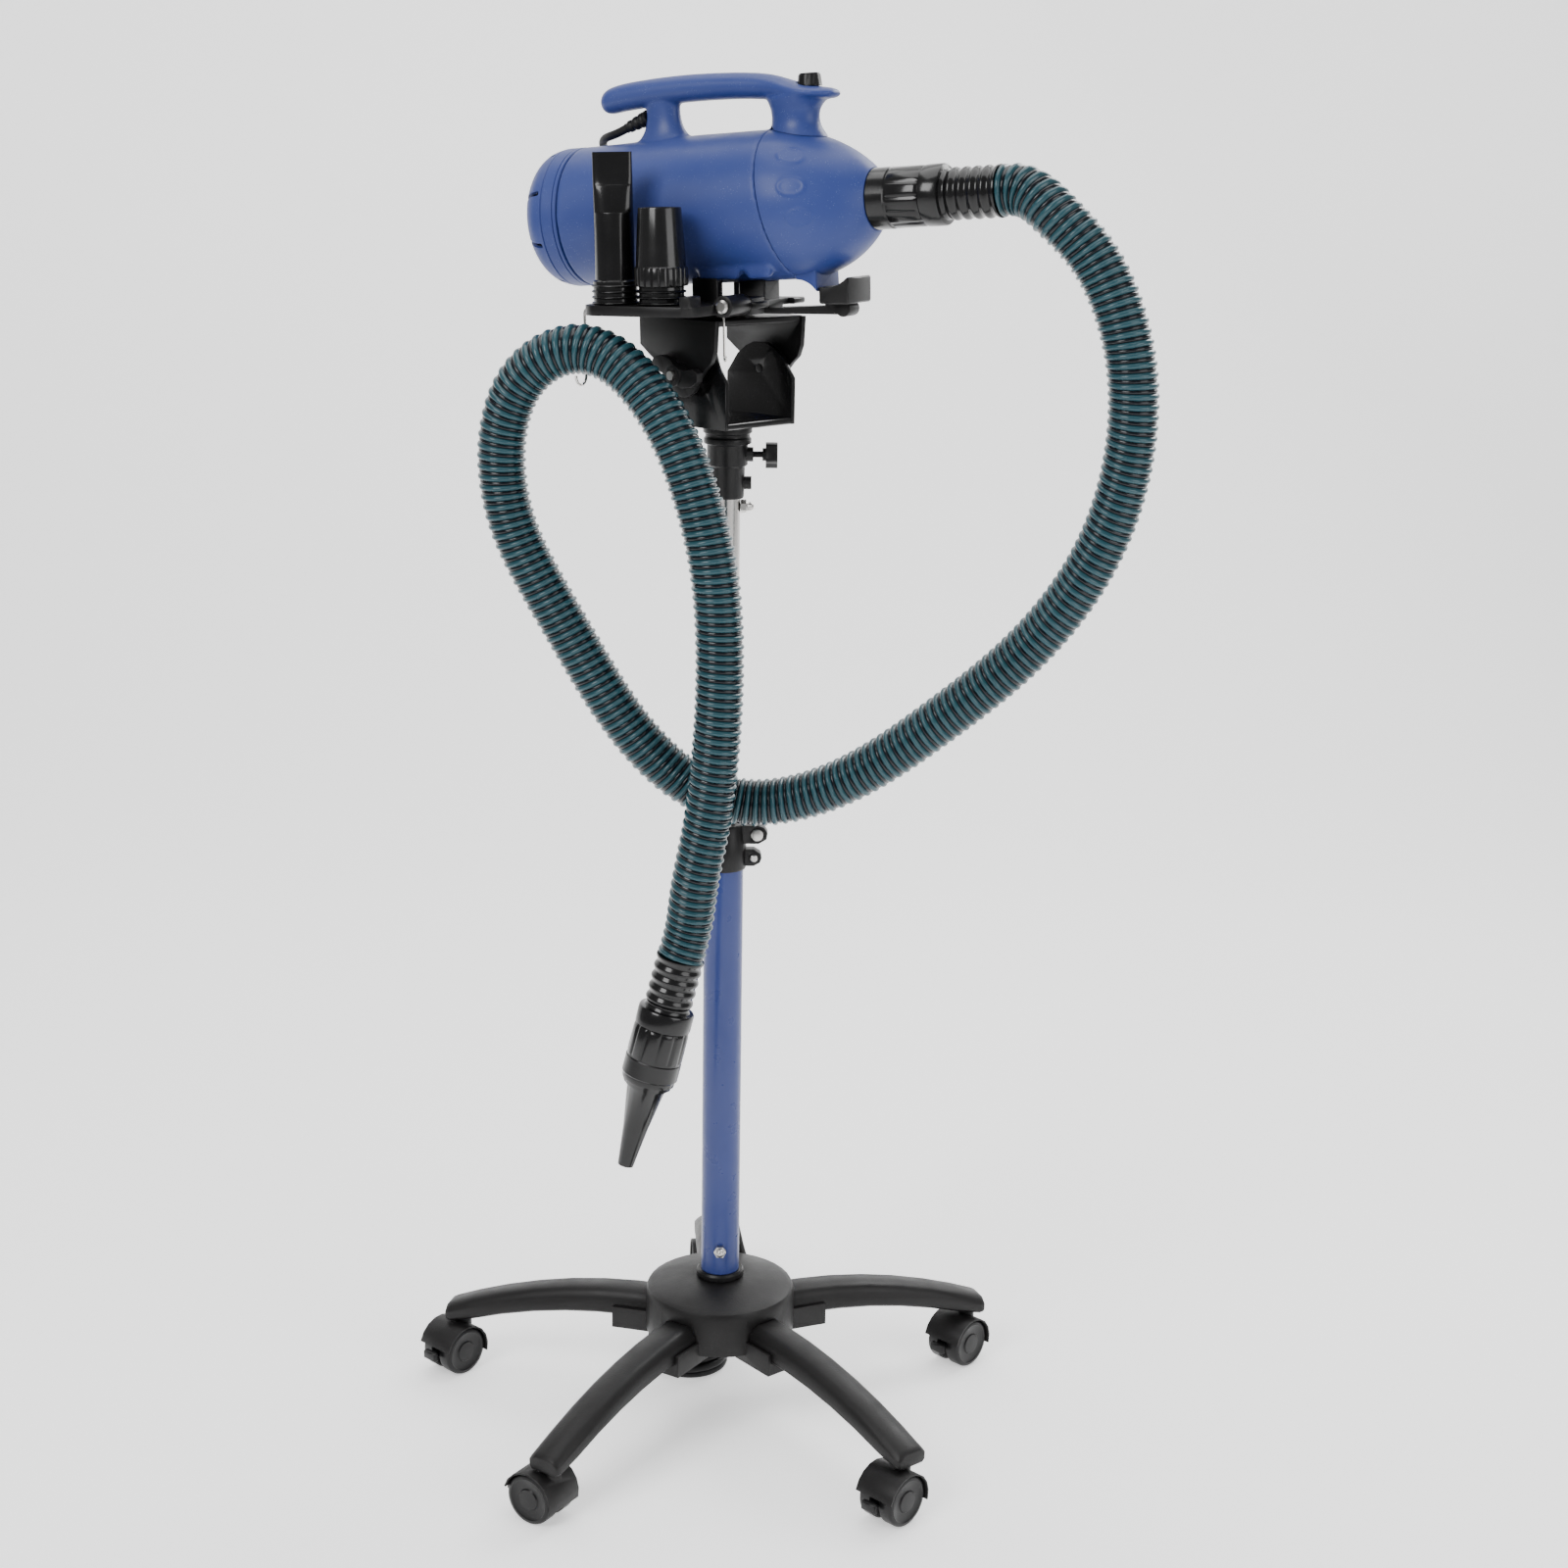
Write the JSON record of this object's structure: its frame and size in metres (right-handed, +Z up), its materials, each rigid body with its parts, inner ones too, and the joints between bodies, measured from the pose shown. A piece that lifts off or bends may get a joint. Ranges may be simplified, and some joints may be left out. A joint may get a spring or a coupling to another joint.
{
  "type": "pet dryer on rolling stand",
  "caption": "Blue canister pet dryer with handle and long ribbed hose, tilting on a height-adjustable pole with an accessory tray and a five-legged caster base",
  "frame": {"origin": "on the floor, under the middle of the stand and dryer measured without the hose and mains cord", "axes": "+Z up along the pole, front towards -Y, the dryer's outlet towards +X and the front"},
  "size_m": [0.6818, 0.5549, 1.3099],
  "materials": {
    "blue_shell": "moulded blue plastic with a fine light speckle, semi-gloss",
    "blue_paint": "semi-gloss blue powder coat",
    "black_plastic": "moulded black plastic, slight sheen",
    "textured_black": "black plastic with a fine mould texture",
    "gloss_black": "glossy black plastic",
    "hose_teal": "dark teal spiral hose, glossy",
    "chromed_steel": "bright plated steel",
    "zinc_steel": "zinc-plated steel",
    "black_rubber": "black cord rubber, satin",
    "filter_foam": "dark filter foam",
    "motor_can": "plain steel",
    "impeller_alloy": "cast alloy"
  },
  "bodies": {
    "base": {"hub": "textured_black", "leg_1": "textured_black", "leg_2": "textured_black", "leg_3": "textured_black", "leg_4": "textured_black", "leg_5": "textured_black", "column_tube": "blue_paint", "column_foot_ring": "black_plastic", "column_bolt": "zinc_steel", "clamp_collar": "black_plastic", "clamp_bolt_1": "zinc_steel", "clamp_bolt_2": "zinc_steel", "mains_cord": "black_rubber", "cord_coil": "black_rubber", "mains_plug": "black_rubber"},
    "mast": {"mast_tube": "chromed_steel", "mast_bolt": "zinc_steel"},
    "swivel": {"socket_sleeve": "black_plastic", "swivel_bracket": "gloss_black", "hose_tube": "hose_teal"},
    "sleeve_screw": {"thumb_screw": "black_plastic"},
    "head": {"tilt_yoke": "black_plastic", "tilt_pin": "zinc_steel", "tilt_nut": "black_plastic", "accessory_tray": "black_plastic", "cradle": "black_plastic", "tray_screw": "zinc_steel", "hose_hook": "chromed_steel", "spare_hook": "chromed_steel", "main_housing": "blue_shell", "front_dome": "blue_shell", "intake_filter": "filter_foam", "motor": "motor_can", "speed_control": "black_plastic", "strain_relief": "black_rubber", "outlet_spigot": "black_plastic"},
    "lever": {"tilt_lever": "black_plastic"},
    "rotor": {"impeller": "impeller_alloy"},
    "knob": {"speed_knob": "black_plastic"},
    "intake_cap": {"rear_cap": "blue_shell"},
    "flat_tool": {"flat_nozzle": "gloss_black"},
    "wide_tool": {"wide_nozzle": "gloss_black"},
    "outlet_cuff": {"dryer_cuff": "gloss_black"},
    "hose_tool": {"tool_cuff": "gloss_black", "cone_nozzle": "gloss_black"},
    "caster_1": {"caster_1_housing": "textured_black"},
    "caster_1_wheel_pair": {"caster_1_wheels": "black_plastic"},
    "caster_1_brake_tab": {"caster_1_brake": "black_plastic"},
    "caster_2": {"caster_2_housing": "textured_black"},
    "caster_2_wheel_pair": {"caster_2_wheels": "black_plastic"},
    "caster_2_brake_tab": {"caster_2_brake": "black_plastic"},
    "caster_3": {"caster_3_housing": "textured_black"},
    "caster_3_wheel_pair": {"caster_3_wheels": "black_plastic"},
    "caster_3_brake_tab": {"caster_3_brake": "black_plastic"},
    "caster_4": {"caster_4_housing": "textured_black"},
    "caster_4_wheel_pair": {"caster_4_wheels": "black_plastic"},
    "caster_4_brake_tab": {"caster_4_brake": "black_plastic"},
    "caster_5": {"caster_5_housing": "textured_black"},
    "caster_5_wheel_pair": {"caster_5_wheels": "black_plastic"},
    "caster_5_brake_tab": {"caster_5_brake": "black_plastic"}
  },
  "joints": [
    {"name": "caster_1_swivel", "type": "hinge", "parent": "base", "child": "caster_1", "pos_m": [-0.00038, 0.26107, 0], "axis": [0, 0, 1], "continuous": true},
    {"name": "caster_1_roll", "type": "hinge", "parent": "caster_1", "child": "caster_1_wheel_pair", "pos_m": [0.00103, 0.24764, 0.025], "axis": [0.9945, 0.1045, 0], "continuous": true},
    {"name": "caster_1_brake_press", "type": "hinge", "parent": "caster_1", "child": "caster_1_brake_tab", "pos_m": [0.00331, 0.22596, 0.025], "axis": [0.9945, 0.1045, 0], "range_deg": [0, 20]},
    {"name": "caster_2_swivel", "type": "hinge", "parent": "base", "child": "caster_2", "pos_m": [-0.25507, 0.05629, 0], "axis": [0, 0, 1], "continuous": true},
    {"name": "caster_2_roll", "type": "hinge", "parent": "caster_2", "child": "caster_2_wheel_pair", "pos_m": [-0.26428, 0.04642, 0.025], "axis": [0.7314, -0.682, 0], "continuous": true},
    {"name": "caster_2_brake_press", "type": "hinge", "parent": "caster_2", "child": "caster_2_brake_tab", "pos_m": [-0.27915, 0.03047, 0.025], "axis": [0.7314, -0.682, 0], "range_deg": [0, 20]},
    {"name": "caster_3_swivel", "type": "hinge", "parent": "base", "child": "caster_3", "pos_m": [-0.13902, -0.24922, 0], "axis": [0, 0, 1], "continuous": true},
    {"name": "caster_3_roll", "type": "hinge", "parent": "caster_3", "child": "caster_3_wheel_pair", "pos_m": [-0.15021, -0.24167, 0.025], "axis": [-0.5592, -0.829, 0], "continuous": true},
    {"name": "caster_3_brake_press", "type": "hinge", "parent": "caster_3", "child": "caster_3_brake_tab", "pos_m": [-0.16829, -0.22948, 0.025], "axis": [-0.5592, -0.829, 0], "range_deg": [0, 20]},
    {"name": "caster_4_swivel", "type": "hinge", "parent": "base", "child": "caster_4", "pos_m": [0.1874, -0.23326, 0], "axis": [0, 0, 1], "continuous": true},
    {"name": "caster_4_roll", "type": "hinge", "parent": "caster_4", "child": "caster_4_wheel_pair", "pos_m": [0.17802, -0.24297, 0.025], "axis": [0.7193, -0.6947, 0], "continuous": true},
    {"name": "caster_4_brake_press", "type": "hinge", "parent": "caster_4", "child": "caster_4_brake_tab", "pos_m": [0.16287, -0.25865, 0.025], "axis": [0.7193, -0.6947, 0], "range_deg": [0, 20]},
    {"name": "caster_5_swivel", "type": "hinge", "parent": "base", "child": "caster_5", "pos_m": [0.27308, 0.08212, 0], "axis": [0, 0, 1], "continuous": true},
    {"name": "caster_5_roll", "type": "hinge", "parent": "caster_5", "child": "caster_5_wheel_pair", "pos_m": [0.2637, 0.07241, 0.025], "axis": [0.7193, -0.6947, 0], "continuous": true},
    {"name": "caster_5_brake_press", "type": "hinge", "parent": "caster_5", "child": "caster_5_brake_tab", "pos_m": [0.24856, 0.05673, 0.025], "axis": [0.7193, -0.6947, 0], "range_deg": [0, 20]},
    {"name": "mast_slide", "type": "slide", "parent": "base", "child": "mast", "axis": [0, 0, 1], "range_m": [-0.1, 0.2], "deforming": ["mains_cord"]},
    {"name": "head_swivel", "type": "hinge", "parent": "mast", "child": "swivel", "pos_m": [0.0132, -0.0166, 0.96], "axis": [0, 0, 1], "range_deg": [-170, 170], "deforming": ["mains_cord"]},
    {"name": "thumb_screw_turn", "type": "hinge", "parent": "swivel", "child": "sleeve_screw", "pos_m": [0.0132, -0.0166, 0.9685], "axis": [1, 0, 0], "range_deg": [-180, 180]},
    {"name": "head_tilt", "type": "hinge", "parent": "swivel", "child": "head", "pos_m": [0.0132, -0.0166, 1.045], "axis": [0.7071, 0.7071, 0], "range_deg": [-25, 25], "deforming": ["hose_tube", "mains_cord"]},
    {"name": "tilt_lever_turn", "type": "hinge", "parent": "head", "child": "lever", "pos_m": [0.0132, -0.0166, 1.045], "axis": [0.7071, 0.7071, 0], "range_deg": [-45, 45]},
    {"name": "rotor_spin", "type": "hinge", "parent": "head", "child": "rotor", "pos_m": [0.0132, -0.0166, 1.191], "axis": [0.8798, -0.4678, 0.0837], "continuous": true},
    {"name": "speed_knob_turn", "type": "hinge", "parent": "head", "child": "knob", "pos_m": [0.08322, -0.05383, 1.29821], "axis": [-0.0739, 0.0393, 0.9965], "range_deg": [0, 270]},
    {"name": "rear_cap_pull", "type": "slide", "parent": "head", "child": "intake_cap", "axis": [-0.8798, 0.4678, -0.0837], "range_m": [0, 0.05]},
    {"name": "flat_nozzle_lift", "type": "slide", "parent": "head", "child": "flat_tool", "axis": [-0.0277, 0.0147, 0.9995], "range_m": [0, 0.06]},
    {"name": "wide_nozzle_lift", "type": "slide", "parent": "head", "child": "wide_tool", "axis": [-0.0277, 0.0147, 0.9995], "range_m": [0, 0.06]},
    {"name": "outlet_cuff_turn", "type": "hinge", "parent": "head", "child": "outlet_cuff", "pos_m": [0.14518, -0.08677, 1.20355], "axis": [0.8798, -0.4678, 0.0837], "continuous": true},
    {"name": "tool_cuff_turn", "type": "hinge", "parent": "swivel", "child": "hose_tool", "pos_m": [-0.0253, -0.1226, 0.5125], "axis": [0.2418, 0.0349, 0.9697], "continuous": true}
  ]
}
